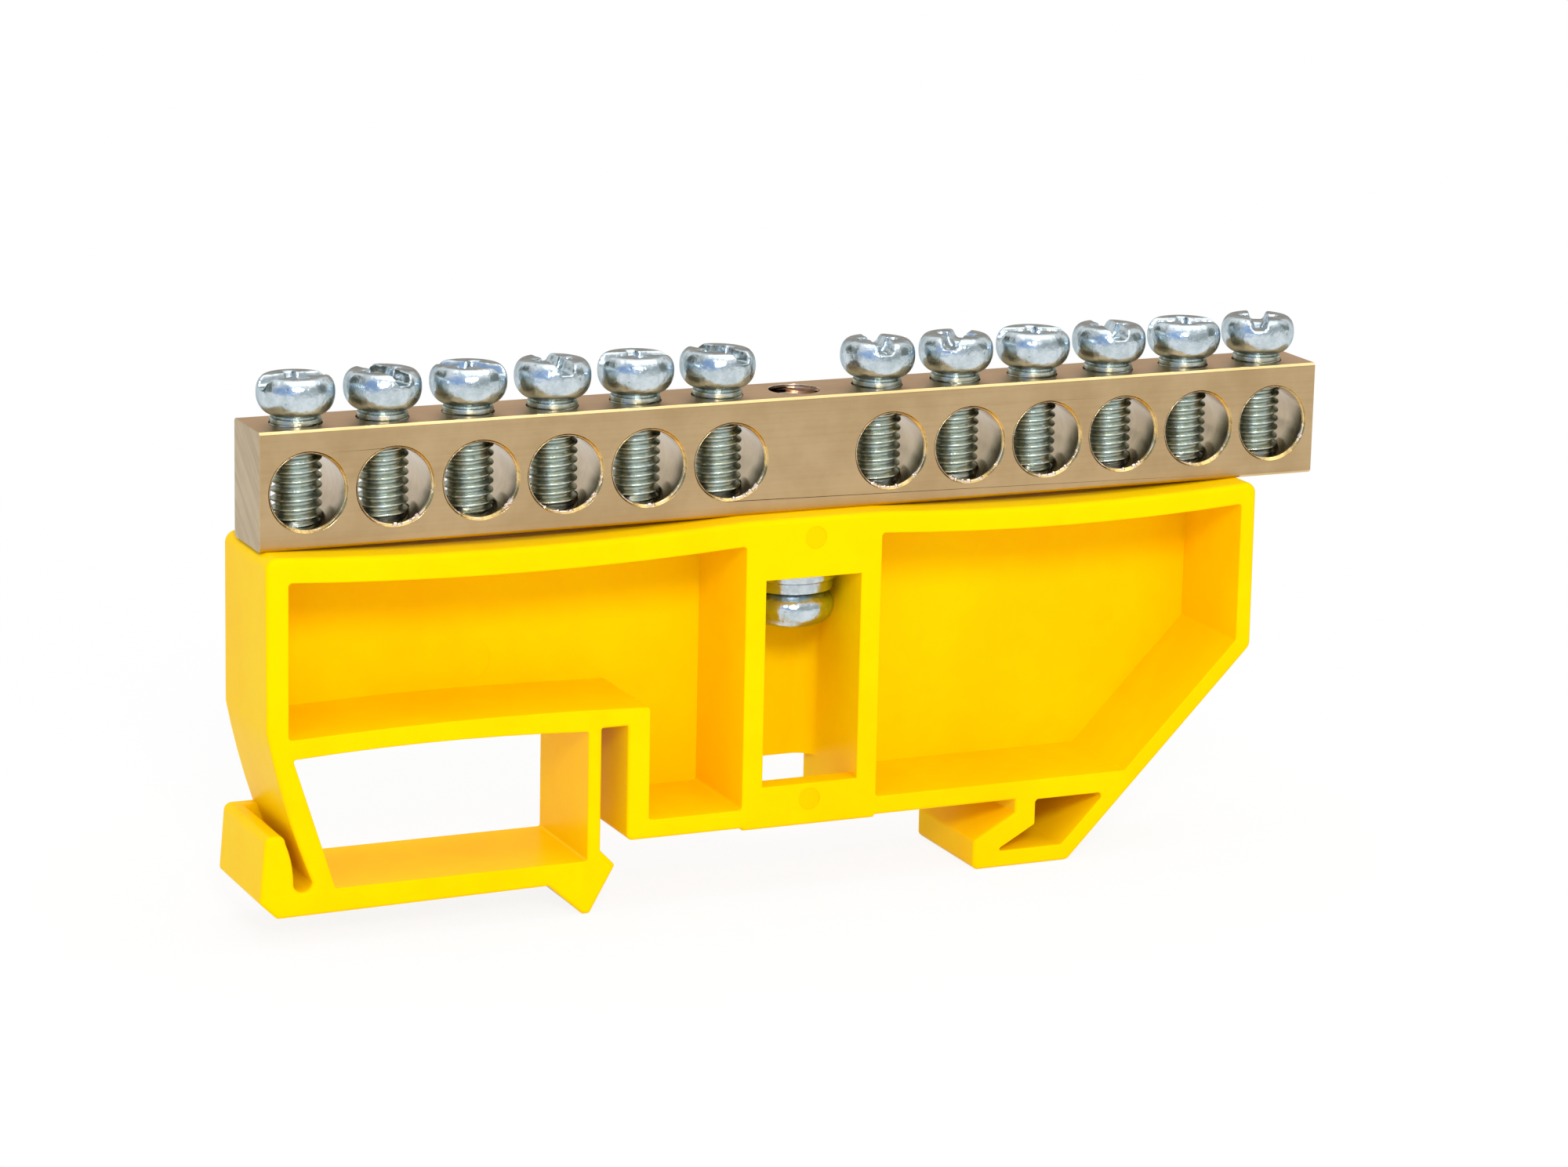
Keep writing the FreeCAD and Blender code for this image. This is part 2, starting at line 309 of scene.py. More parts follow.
class Finish(Shading):
    """A material in the making. Its coordinates are the object's own, in millimetres."""

    def __init__(self, name):
        self.material = bpy.data.materials.new(name)
        super().__init__(self.material)
        metres = self.node("ShaderNodeTexCoord", output="Object")
        self.place = self.stretched(metres, (1 / MM, 1 / MM, 1 / MM))

    def stretched(self, vector, scale):
        return self.node("ShaderNodeVectorMath", {"operation": "MULTIPLY"}, {0: vector, 1: scale})

    def length(self, vector):
        return self.node("ShaderNodeVectorMath", {"operation": "LENGTH"}, {0: vector}, "Value")

    def turned(self, vector, axis, degrees):
        inputs = {"Vector": vector, "Axis": axis, "Angle": math.radians(degrees)}
        return self.node("ShaderNodeVectorRotate", {"rotation_type": "AXIS_ANGLE"}, inputs)

    def grain(self, scale, detail=2.0, rough=0.5, vector=None):
        """Noise from 0 to 1 whose blobs are about one over scale millimetres wide."""
        vector = self.place if vector is None else vector
        inputs = {"Vector": vector, "Scale": scale, "Detail": detail, "Roughness": rough}
        return self.node("ShaderNodeTexNoise", None, inputs, "Fac")

    def relief(self, height, depth, under=None):
        """A bump whose full height is depth millimetres."""
        inputs = {"Height": height, "Distance": depth * MM, "Strength": 1.0}
        if under is not None:
            inputs["Normal"] = under
        return self.node("ShaderNodeBump", None, inputs, "Normal")

    def surface(self, **sockets):
        """The shader itself. Names are the socket's own, with _ for a space."""
        inputs = {name.replace("_", " "): value for name, value in sockets.items()}
        self.ended(self.node("ShaderNodeBsdfPrincipled", None, inputs))


print("notation ready")

# %% [markdown]
# ## The camera
#
# The photograph was taken with a long lens, from the left and a little above, and slightly
# rolled. The numbers were solved from the bar, whose hole pitch is known: a bar in perspective
# gives the distance, and its verticals give the roll. The lens axis doesn't pass through the
# middle of the frame, so a small shift takes its place.

# %% Camera
AZIMUTH, ELEVATION, ROLL = (math.radians(angle) for angle in (24.869, 12.926, 1.398))
CAMERA_PLACE = (-149.25, -329.432, 105.719)
PHOTO_WIDTH = 2000
FOCAL_PIXELS = 6099.68
AXIS_RIGHT_OF_MIDDLE = 64.8
AXIS_ABOVE_MIDDLE = 73.2

forward = Vector((
    math.sin(AZIMUTH) * math.cos(ELEVATION),
    math.cos(AZIMUTH) * math.cos(ELEVATION),
    -math.sin(ELEVATION),
))
level = Vector((math.cos(AZIMUTH), -math.sin(AZIMUTH), 0))
above = level.cross(forward)
across = level * math.cos(ROLL) + above * math.sin(ROLL)
upward = above * math.cos(ROLL) - level * math.sin(ROLL)
lens = bpy.data.cameras.new("photo_camera")
lens.sensor_width = 36
lens.lens = FOCAL_PIXELS / PHOTO_WIDTH * lens.sensor_width
lens.shift_x = -AXIS_RIGHT_OF_MIDDLE / PHOTO_WIDTH
lens.shift_y = -AXIS_ABOVE_MIDDLE / PHOTO_WIDTH
lens.clip_start = 0.01
camera = bpy.data.objects.new("photo_camera", lens)
bpy.context.collection.objects.link(camera)
aim = Matrix((across, upward, -forward)).transposed().to_4x4()
camera.matrix_world = Matrix.Translation(Vector(CAMERA_PLACE) * MM) @ aim
bpy.context.scene.camera = camera
print("lens", round(lens.lens, 1), "mm")

# %% [markdown]
# ## Floor, world and lamps
#
# A cut-out picture has no floor, but an object that stands on nothing looks pasted. The floor
# here is white and keeps a soft shadow. Its white is partly its own for the camera and for
# reflections, so the lamps needn't be turned up until it clips.
#
# The metal needs something dark to reflect, or it turns into white paper. A lamp could be moved
# about for it, but a room is simpler: white walls with a grey one behind the camera, a blue
# window in it and dim curtains at both sides, which only reflections see.


# %% Floor
FLOOR_REACH = 2500
FLOOR_GAP = 0.02
OWN_WHITE = 0.88
SHADOW_FADES = (45, 150)


def white_floor():
    """White paper. For the camera its white is mostly its own, and wholly so past the shadow."""
    finish = Finish("white_floor")
    path = "ShaderNodeLightPath"
    seen = finish.node(path, output="Is Camera Ray") + finish.node(path, output="Is Glossy Ray")
    seen = seen + finish.node(path, output="Is Transmission Ray")
    far = finish.ranged(finish.length(finish.place), *SHADOW_FADES)
    paper = finish.node("ShaderNodeBsdfDiffuse", None, {"Color": (0.88, 0.88, 0.88, 1)})
    glow = finish.node("ShaderNodeEmission", None, {"Color": (1, 1, 1, 1), "Strength": 1.0})
    share = seen * (OWN_WHITE + far * (1 - OWN_WHITE))
    finish.ended(finish.node("ShaderNodeMixShader", None, {0: share, 1: paper, 2: glow}))
    return finish


bm = bmesh.new()
bmesh.ops.create_grid(bm, x_segments=1, y_segments=1, size=FLOOR_REACH)
bmesh.ops.translate(bm, vec=(0, 0, FLOOR_HEIGHT - FLOOR_GAP), verts=bm.verts)
floor = bpy.data.objects.new("floor", finished_mesh(bm, "floor", [white_floor()]))
bpy.context.collection.objects.link(floor)
print("floor at", FLOOR_HEIGHT, "mm")


# %% World
class Room(Shading):
    """The world: walls that only reflections see."""

    def __init__(self, name):
        self.world = bpy.data.worlds.new(name)
        super().__init__(self.world)
        way = self.node("ShaderNodeTexCoord", output="Generated")
        x, y, z = (self.node("ShaderNodeSeparateXYZ", None, {0: way}, axis) for axis in "XYZ")
        self.height = z
        self.bearing = x.maths("ARCTAN2", x, 0 - y)

    def panel(self, bearing, half, low, high, soft):
        """1 on a panel of the wall. Bearings are in degrees from straight in front, clockwise."""
        off = self.bearing - math.radians(bearing)
        off = off.maths("ABSOLUTE", off, 0)
        wide = self.ranged(off, math.radians(half) + soft, math.radians(half) - soft)
        rise = self.ranged(self.height, low - soft, low + soft)
        tall = rise * self.ranged(self.height, high + soft, high - soft)
        return wide * tall


WHITE_WALL = (0.95, 0.95, 0.95)
PLAIN_LIGHT = (0.72, 0.72, 0.72)
TO_THE_FLOOR = -1.5
# Bearing, half width, bottom, top and softness of each panel, and its colour
PANELS = {
    "grey wall": ((-20, 95, TO_THE_FLOOR, 0.5, 0.1), (0.5, 0.53, 0.54)),
    "blue window": ((-47, 34, -0.25, 0.76, 0.32), (0.34, 0.49, 0.8)),
    "wall behind": ((150, 30, TO_THE_FLOOR, 0.45, 0.1), (0.62, 0.5, 0.42)),
    "left curtain": ((-125, 20, TO_THE_FLOOR, 0.7, 0.1), (0.09, 0.1, 0.08)),
    "right curtain": ((78, 16, TO_THE_FLOOR, 0.6, 0.1), (0.2, 0.22, 0.2)),
}


def room_light():
    """Plain light for the surfaces, a white room for the camera, and for reflections a white
    room with the panels in it."""
    room = Room("room")
    walls = WHITE_WALL
    for place, colour in PANELS.values():
        walls = room.blended(room.panel(*place), walls, colour)
    path = "ShaderNodeLightPath"
    lit = room.blended(room.node(path, output="Is Glossy Ray"), PLAIN_LIGHT, walls)
    colour = room.blended(room.node(path, output="Is Camera Ray"), lit, (1.0, 1.0, 1.0))
    light = room.node("ShaderNodeBackground", None, {"Color": colour, "Strength": 1.0})
    room.ended(light, "ShaderNodeOutputWorld")
    bpy.context.scene.world = room.world


room_light()
print("room with", ", ".join(PANELS))


# %% Lamps
OBJECT_MIDDLE = 18


def soft_box(name, place, size, power):
    """A round lamp that looks at the middle of the object."""
    lamp = bpy.data.lights.new(name, "AREA")
    lamp.shape = "DISK"
    lamp.size = size * MM
    lamp.energy = power
    stand = bpy.data.objects.new(name, lamp)
    bpy.context.collection.objects.link(stand)
    place = Vector(place) * MM
    look = Vector((0, 0, OBJECT_MIDDLE)) * MM - place
    turn = look.to_track_quat("-Z", "Y").to_matrix().to_4x4()
    stand.matrix_world = Matrix.Translation(place) @ turn


soft_box("front_box", place=(-135, -430, 275), size=120, power=1.16)
soft_box("top_box", place=(60, -40, 520), size=640, power=1.0)
bpy.context.scene.view_settings.view_transform = "Standard"

# %% [markdown]
# ## Yellow plastic
#
# The holder is injection-moulded in a glossy yellow. It could be one flat colour, but a moulding
# shows where the melt flowed: broad patches a shade deeper, and a skin that is a little wavy
# under the light. Both come from noise in millimetres, so they keep their size on every face.


# %% Yellow plastic
def moulded_yellow(name, light, deep):
    finish = Finish(name)
    flow = finish.grain(0.09, 2, 0.5, finish.stretched(finish.place, (1.0, 1.0, 0.6)))
    cloud = finish.grain(0.5, 3)
    colour = finish.blended(finish.ranged(flow * 0.7 + cloud * 0.3, 0.35, 0.7), light, deep)
    skin = finish.grain(1.6, 2)
    texture = finish.grain(9.0, 3, 0.6)
    relief = finish.relief(texture, 0.004, finish.relief(skin, 0.014, finish.relief(flow, 0.12)))
    finish.surface(
        Base_Color=colour,
        Roughness=0.24 + finish.grain(2.4, 4, 0.6) * 0.16,
        Normal=relief,
        Specular_IOR_Level=0.03,
        Specular_Tint=(1.0, 0.85, 0.25, 1),
    )
    return finish


yellow = moulded_yellow("moulded_yellow", (1.0, 0.66, 0.0), (1.0, 0.6, 0.0))
pressed_yellow = moulded_yellow("pressed_yellow", (1.0, 0.59, 0.0), (1.0, 0.54, 0.0))
print("two yellows")

# %% [markdown]
# ## Brass, drawn and drilled
#
# The bar is pulled through a die, which leaves fine lines along it, sawn off at its ends, and
# drilled. One noise serves all three when it is stretched: long along X for the drawn sides,
# across a slant for the saw, and round the hole for the drill. The edges, the torn metal and the
# mouths of the holes have brighter ones, and carry painted light: a painted highlight along the
# edges, painted glints on the torn metal, and painted reflection and shade in the mouths. Each is
# its own finish, because faces can be picked by where they lie more surely than a shader can guess.


# %% Brass
def brass(name, lines, dark, light, depth, rough, contrast=0.2):
    """Brass whose marks follow the given coordinates. Contrast is the share that the marks have
    in the colour; broad stains have the rest."""
    finish = Finish(name)
    vector = lines(finish)
    fine = finish.grain(1.0, 5, 0.7, vector)
    streak = finish.grain(0.14, 2, 0.5, vector)
    stain = finish.grain(0.22, 4, 0.6)
    marks = fine * contrast + streak * contrast + stain * (1 - 2 * contrast)
    shade = finish.ranged(marks, 0.3, 0.7)
    finish.surface(
        Base_Color=finish.blended(shade, dark, light),
        Metallic=1.0,
        Roughness=rough + fine * 0.12 + stain * 0.08,
        Normal=finish.relief(fine, depth, finish.relief(stain, 0.02)),
    )
    return finish


def drawn_lines(finish):
    return finish.stretched(finish.place, (0.05, 24, 24))


def sawn_lines(finish):
    return finish.stretched(finish.turned(finish.place, (1, 0, 0), -38), (3, 0.35, 7))


def drilled_lines(finish):
    return finish.stretched(finish.place, (0.1, 14, 0.1))


drawn_brass = brass(
    "drawn_brass",
    drawn_lines,
    (0.48, 0.325, 0.162),
    (0.605, 0.43, 0.235),
    depth=0.003,
    rough=0.22,
)
sawn_brass = brass(
    "sawn_brass",
    sawn_lines,
    (0.42, 0.32, 0.19),
    (0.66, 0.54, 0.36),
    depth=0.012,
    rough=0.34,
    contrast=0.38,
)
drilled_brass = brass(
    "drilled_brass",
    drilled_lines,
    (0.4, 0.31, 0.2),
    (0.54, 0.44, 0.31),
    depth=0.002,
    rough=0.12,
    contrast=0.1,
)
# Painted highlight: a brighter, glossier brass for the rounded edges, so that they shine as a
# bright line.
edge_brass_painted_highlight = brass(
    "edge_brass_painted_highlight",
    drawn_lines,
    (0.56, 0.38, 0.15),
    (0.8, 0.58, 0.3),
    depth=0.002,
    rough=0.08,
    contrast=0.3,
)
# Painted glints: a brass whiter than real brass, for the burrs and the thread of the middle bore.
torn_brass_painted_glints = brass(
    "torn_brass_painted_glints",
    sawn_lines,
    (0.8, 0.58, 0.42),
    (1.0, 0.88, 0.76),
    depth=0.02,
    rough=0.1,
    contrast=0.3,
)
# Painted reflection and shade: noise scatters a near-black brown and a saturated yellow over the
# mouths, the yellow standing for the holder seen in them.
mouth_brass_with_painted_light = brass(
    "mouth_brass_with_painted_light",
    sawn_lines,
    (0.22, 0.15, 0.05),
    (0.9, 0.62, 0.22),
    depth=0.012,
    rough=0.08,
    contrast=0.42,
)
print("six kinds of brass")

# %% [markdown]
# ## Zinc on steel
#
# The screws are pressed and rolled from steel wire and plated with zinc. The plating is bright
# and bluish, and over a pressed head it is never quite smooth. A wide and a fine bump give those
# dents, with painted shade in the deepest of them, and a mask from the distance to the axis paints
# shade into the thread's roots, where light hardly comes, and makes them rougher where the plating
# is thin.


# %% Zinc
def bright_zinc(name, dark, light, dent=0.2, root=0.0, crest=0.0):
    """Zinc plate, with painted shade in its deepest dents. With a root and a crest radius the
    thread between them gets painted shade and more roughness at its root, and has the fine lines
    that the rolls left."""
    finish = Finish(name)
    dents = finish.grain(0.6, 2, 0.5)
    wrinkles_and_dent_shade = finish.grain(1.6, 4, 0.65)
    pits = finish.grain(6.0, 4, 0.6)
    film = finish.grain(0.9, 4, 0.65)
    colour = finish.blended(finish.ranged(film, 0.35, 0.65), dark, light)
    # Painted shade: the colour goes dark in the deepest dents of the wrinkle bump.
    colour = finish.blended(finish.ranged(wrinkles_and_dent_shade, 0.36, 0.28), colour, (0.3, 0.32, 0.31))
    roughness = 0.15 + pits * 0.12
    shape = finish.relief(pits, 0.006, finish.relief(wrinkles_and_dent_shade, 0.05, finish.relief(dents, dent)))
    if crest > 0:
        radius = finish.length(finish.stretched(finish.place, (1, 1, 0)))
        # Painted shade: towards the root the colour darkens, where light hardly comes, and the
        # surface gets rougher.
        deep = finish.ranged(radius, crest, root)
        colour = finish.blended(deep, colour, (0.5, 0.54, 0.47))
        lines = finish.grain(1.0, 3, 0.6, finish.stretched(finish.place, (0.4, 0.4, 9)))
        shape = finish.relief(lines, 0.03, shape)
        roughness = roughness + 0.03 + deep * 0.1
    finish.surface(
        Base_Color=colour,
        Metallic=1.0,
        Roughness=roughness,
        Specular_Tint=(0.6, 0.66, 0.69, 1),
        Normal=shape,
    )
    return finish


head_zinc = bright_zinc("head_zinc", (0.5, 0.58, 0.61), (0.66, 0.74, 0.78))
thread_zinc_with_painted_root_shade = bright_zinc(
    "thread_zinc_with_painted_root_shade",
    (0.62, 0.66, 0.55),
    (0.68, 0.77, 0.76),
    dent=0.03,
    root=1.54,
    crest=1.7,
)
washer_zinc = bright_zinc("washer_zinc", (0.5, 0.56, 0.58), (0.66, 0.71, 0.74), dent=0.03)
print("zinc ready")

# %% [markdown]
# ## The holder
#
# The solid of the holder is right in every wall, but its edges are knife-sharp. In the mould
# they are rounded, and those thin bright lines are most of what tells plastic from paper. The
# Bevel tool could round them, but on a flat face with many holes it throws spikes. The moulding
# has only two such faces, its front and its back, so each is taken off, its rims are drawn in
# along a quarter circle, and the smaller face is filled in again.
#
# Ejector pins push the moulding out and leave round marks, cut last as very shallow pockets.


# %% Rounding a rim
def outline_of(rim):
    """The corners of the rim that runs round the outside, which reaches farthest to the left."""
    near = {}
    for edge in rim:
        for vert in edge.verts:
            near.setdefault(vert, []).append(edge.other_vert(vert))
    ends = [min(near, key=lambda vert: vert.co.x)]
    found = set(ends)
    while ends:
        fresh = [vert for vert in near[ends.pop()] if vert not in found]
        found.update(fresh)
        ends += fresh
    return found


def round_rim(bm, plane, radius, outside, steps=4):
    """Rounds the edges all round the flat face at this y: by radius round its openings, and by
    outside(vert) round its outline."""
    outward = math.copysign(1, plane)
    bm.normal_update()
    flat = {f for f in bm.faces if all(abs(v.co.y - plane) < 0.001 for v in f.verts)}
    rim = [e for e in bm.edges if sum(f in flat for f in e.link_faces) == 1]
    walls = {}
    for edge in rim:
        wall = next(f for f in edge.link_faces if f not in flat)
        away = Vector((wall.normal.x, 0, wall.normal.z)).normalized()
        for vert in edge.verts:
            walls.setdefault(vert, []).append(away)
    bmesh.ops.delete(bm, geom=list(flat), context="FACES")
    drawn = {v: -(a + b) / (1 + a.dot(b)) for v, (a, b) in walls.items()}
    outline = outline_of(rim)
    size = {vert: outside(vert.co) if vert in outline else radius for vert in drawn}
    for vert in drawn:
        vert.co.y = plane - outward * size[vert]
    start = {vert: vert.co.copy() for vert in drawn}
    last = {vert: vert for vert in drawn}
    for step in range(1, steps + 1):
        turn = math.pi / 2 * step / steps
        step_in, step_out = 1 - math.cos(turn), Vector((0, outward * math.sin(turn), 0))
        ring = {}
        for vert in drawn:
            ring[vert] = bm.verts.new(start[vert] + (drawn[vert] * step_in + step_out) * size[vert])
        for edge in rim:
            one, two = edge.verts
            bm.faces.new((last[one], last[two], ring[two], ring[one]))
        last = ring
    loops = [bm.edges.get((last[e.verts[0]], last[e.verts[1]])) for e in rim]
    bmesh.ops.triangle_fill(bm, use_beauty=True, edges=loops, normal=(0, outward, 0))
    bmesh.ops.recalc_face_normals(bm, faces=bm.faces)


# %% Holder
HOLDER_FRONT = -5.1
HOLDER_BACK = 5.1
WEB_FRONT = 4.1
EJECTOR_DEPTH = 0.04
OPENING_ROUND = 0.14
TOP_EDGE = 20
ejector_marks = [
    ((-0.46, HOLDER_FRONT, 22.9), 0.9),
    ((-0.54, HOLDER_FRONT, 2.1), 0.9),
    ((-25.15, WEB_FRONT, 13.1), 1.6),
]
pins = [
    round_cutter((x, y - 1, z), (0, 1 + EJECTOR_DEPTH, 0), radius)
    for (x, y, z), radius in ejector_marks
]
bm = solid_of("rail_holder")
round_rim(bm, HOLDER_FRONT, OPENING_ROUND, lambda place: 0.45 if place.z > TOP_EDGE else 0.28)
round_rim(bm, HOLDER_BACK, OPENING_ROUND, lambda place: 0.2)
print("open edges", sum(len(edge.link_faces) != 2 for edge in bm.edges))
bm = worked(bm, pins)
for face in bm.faces:
    for place, radius in ejector_marks[:2]:
        if all((vert.co - Vector(place)).length < radius + 0.06 for vert in face.verts):
            face.material_index = 1
add_piece(
    "rail_holder_moulding",
    finished_mesh(bm, "rail_holder_moulding", [yellow, pressed_yellow]),
    "holder",
    ["rail_holder"],
)

# %% [markdown]
# ## A rolled thread
#
# A thread could be painted on as a bump, but seen from the side its outline would stay straight,
# and here the saw-tooth outline shows in every wire hole. So it is wound: a strip one pitch wide
# climbs round the axis, and its upper side meets the lower side of the next turn. Beyond the
# tip the strip is pressed flat, which gives the screw's end.


# %% Thread
THREAD_PITCH = 0.7
CREST_RADIUS = 1.95
TIP_RADIUS = 1.5


def wind_thread(bm, crest, root, low, high, tip=TIP_RADIUS, at=(0, 0, 0), cap=True, steps=48):
    """A thread round Z from low to high. Its end at low tapers to the radius tip."""
    shoulder = crest - 0.2 * (crest - root)
    near_crest = crest - 0.05 * (crest - root)
    # One pitch of the strip: each corner's share of the pitch and its radius
    shape = [(0.0, root), (0.25, shoulder), (0.31, near_crest), (0.36, crest)]
    shape += [(0.42, crest), (0.47, near_crest), (0.53, shoulder), (0.78, root)]
    total = int((high - low) / THREAD_PITCH + 2) * steps

    def point(step, part):
        share, radius = shape[part]
        angle = 2 * math.pi * step / steps
        z = low - THREAD_PITCH + (step / steps + share) * THREAD_PITCH
        radius = min(radius, tip + max(0.0, z - low))
        z = min(max(z, low), high)
        corner = Vector((radius * math.cos(angle), radius * math.sin(angle), z))
        return bm.verts.new(Vector(at) + corner)

    rows = [[point(step, part) for part in range(len(shape))] for step in range(total + steps + 1)]
    for step in range(total):
        for part in range(len(shape)):
            here, there = rows[step], rows[step + 1]
            if part + 1 < len(shape):
                upper = (there[part + 1], here[part + 1])
            else:
                upper = (rows[step + 1 + steps][0], rows[step + steps][0])
            bm.faces.new((here[part], there[part], *upper))
    if cap:
        place = Matrix.Translation((0, 0, low + 0.001))
        bmesh.ops.create_circle(bm, cap_ends=True, radius=tip + 0.01, segments=steps, matrix=place)


print("thread ready")

# %% [markdown]
# ## The brass bar
#
# Each tapped hole is drilled deeper than it is used, so the drill leaves a dimple in the floor of
# the wire hole, and the screw's end goes into it. After the dimples the edges are rounded a
# little. The holes of the imported solid have few sides, so each gets a smoother wall inside it,
# with a chamfered mouth. The mouth keeps the burr that the drill pushed out: a thin, uneven ring
# of metal with painted glints.


# %% Bar helpers
DRILL_RADIUS = 2.86
MOUTH = 0.22
MOUTH_RADIUS = DRILL_RADIUS + MOUTH
TAP_RADIUS = 2.0
DIMPLE_FLOOR = 25.7
BAR_END = 44.25
TORN_SIDE = Vector((0.35, 0, -0.94))


def lathed(outline, sides=96):
    """A closed ring round Y whose cross-section is the outline of (radius, y) points."""
    bm = bmesh.new()
    rings = []
    for side in range(sides):
        turn = 2 * math.pi * side / sides
        x, y = math.cos(turn), math.sin(turn)
        rings.append([bm.verts.new((r * x, r * y, h)) for r, h in outline])
    for side in range(sides):
        here, there = rings[side], rings[(side + 1) % sides]
        for corner in range(len(outline)):
            bm.faces.new((here[corner - 1], there[corner - 1], there[corner], here[corner]))
    bmesh.ops.rotate(bm, matrix=Matrix.Rotation(-math.pi / 2, 3, "X"), verts=bm.verts)
    bmesh.ops.recalc_face_normals(bm, faces=bm.faces)
    return bm


def drilled_wall(x):
    """The wall of a wire hole: straight, with a chamfered mouth in front and behind."""
    outline = [
        (MOUTH_RADIUS, BAR_FRONT),
        (DRILL_RADIUS, BAR_FRONT + MOUTH),
        (DRILL_RADIUS, -BAR_FRONT - MOUTH),
        (MOUTH_RADIUS, -BAR_FRONT),
        (MOUTH_RADIUS + 0.05, 0),
    ]
    wall = lathed(outline)
    bmesh.ops.translate(wall, vec=(x, 0, WIRE_HEIGHT), verts=wall.verts)
    return worked(wall, [round_cutter((x, 0, DIMPLE_FLOOR), (0, 0, 8), TAP_RADIUS, 48)])


def burr(bm, x, seed, steps=160, sides=6):
    """A thin uneven ring inside a wire hole's mouth, thick where the drill tore the metal."""
    rings = []
    for step in range(steps):
        angle = 2 * math.pi * step / steps
        out = Vector((math.cos(angle), 0, math.sin(angle)))
        torn = max(0.0, noise.noise(Vector((out.x * 3.5, seed, out.z * 3.5))) + 0.2)
        shreds = max(0.0, noise.noise(Vector((out.x * 12, seed + 9, out.z * 12))) - 0.06)
        low = max(0.0, out.dot(TORN_SIDE) - 0.3)
        thick = min(0.012 + 0.02 * torn + low * torn * (0.15 + 4.0 * shreds), 0.19)
        centre = Vector((x, BAR_FRONT + MOUTH * 0.55, WIRE_HEIGHT))
        centre += out * (DRILL_RADIUS + MOUTH * 0.4)
        ring = []
        for side in range(sides):
            turn = 2 * math.pi * side / sides
            way = out * math.cos(turn) + Vector((0, 0.6 * math.sin(turn), 0))
            ring.append(bm.verts.new(centre + way * thick))
        rings.append(ring)
    for step in range(steps):
        here, there = rings[step], rings[(step + 1) % steps]
        for side in range(sides):
            bm.faces.new((here[side], here[side - 1], there[side - 1], there[side]))


DRAWN, SAWN, DRILLED, EDGE, TORN_GLINTS, CHAMFER = range(6)
SLACK = 0.02
STRAIGHT = 0.97


def bar_finish(face):
    """The number of the face's finish, told by where it lies and which way it looks."""
    middle, way = face.calc_center_median(), face.normal
    if abs(way.x) > 0.9 and abs(middle.x) > BAR_END - 0.25:
        return SAWN
    near = min((index * PITCH for index in PLACES), key=lambda x: abs(middle.x - x))
    from_hole = math.hypot(middle.x - near, middle.z - WIRE_HEIGHT)
    from_tap = min(math.hypot(middle.x - x, middle.y) for x in (near, MOUNT_X))
    # A mouth's chamfer gets the brass with painted reflection and shade.
    if from_hole < MOUTH_RADIUS - SLACK and abs(way.y) < STRAIGHT:
        return CHAMFER if 0.6 < abs(way.y) < 0.8 else DRILLED
    # The thread of the middle bore gets the torn metal's finish: painted glints brighten it where
    # it lies in shade
    if from_tap < TAP_RADIUS + SLACK:
        return TORN_GLINTS if abs(middle.x - MOUNT_X) < TAP_RADIUS + SLACK else DRILLED
    # Rounded edges get the brass with the painted highlight.
    return EDGE if max(abs(way.x), abs(way.y), abs(way.z)) < STRAIGHT else DRAWN


# %% Bar
bar_finishes = [drawn_brass, sawn_brass, drilled_brass, edge_brass_painted_highlight, torn_brass_painted_glints, mouth_brass_with_painted_light]
dimple = (0, 0, WIRE_HEIGHT - DIMPLE_FLOOR)
cutters = [
    round_cutter((index * PITCH, 0, DIMPLE_FLOOR), dimple, TAP_RADIUS, 48)
    for index in PLACES
]
for index in PLACES:
    for side in (-1, 1):
        mouth = (index * PITCH, side * (-BAR_FRONT + 0.2), WIRE_HEIGHT)
        cutters.append(round_cutter(mouth, (0, -side * 0.4, 0), MOUTH_RADIUS, 96))
bm = worked(solid_of("terminal_bar"), cutters, edge=0.03, steps=2)
for index in PLACES:
    joined(bm, drilled_wall(index * PITCH))
wind_thread(
    bm,
    crest=1.66,
    root=2.03,
    low=29.6,
    high=BAR_TOP - 0.25,
    tip=2.03,
    at=(MOUNT_X, 0, 0),
    cap=False,
)
bm.normal_update()
for face in bm.faces:
    face.material_index = bar_finish(face)
torn_from = len(bm.faces)
for index in PLACES:
    burr(bm, index * PITCH, index * 3.7)
bm.faces.ensure_lookup_table()
# The burrs get the torn finish with its painted glints.
for face in bm.faces[torn_from:]:
    face.material_index = TORN_GLINTS
add_piece(
    "terminal_bar_drilled",
    finished_mesh(bm, "terminal_bar_drilled", bar_finishes, crisp=12.0),
    "holder",
    ["terminal_bar"],
)

# %% [markdown]
# ## A pressed head
#
# The head is a barrel: nearly upright in the middle, round above and below. A lathe outline with
# many points would do, but one formula is easier to fit: a rounded square whose power says how
# square it is. The slot and the cross are cut after turning. A press leaves no sharp edge, and
# the Bevel tool would leave horns where the cuts cross the round shoulder, so the head is covered
# with small squares again and those are smoothed.


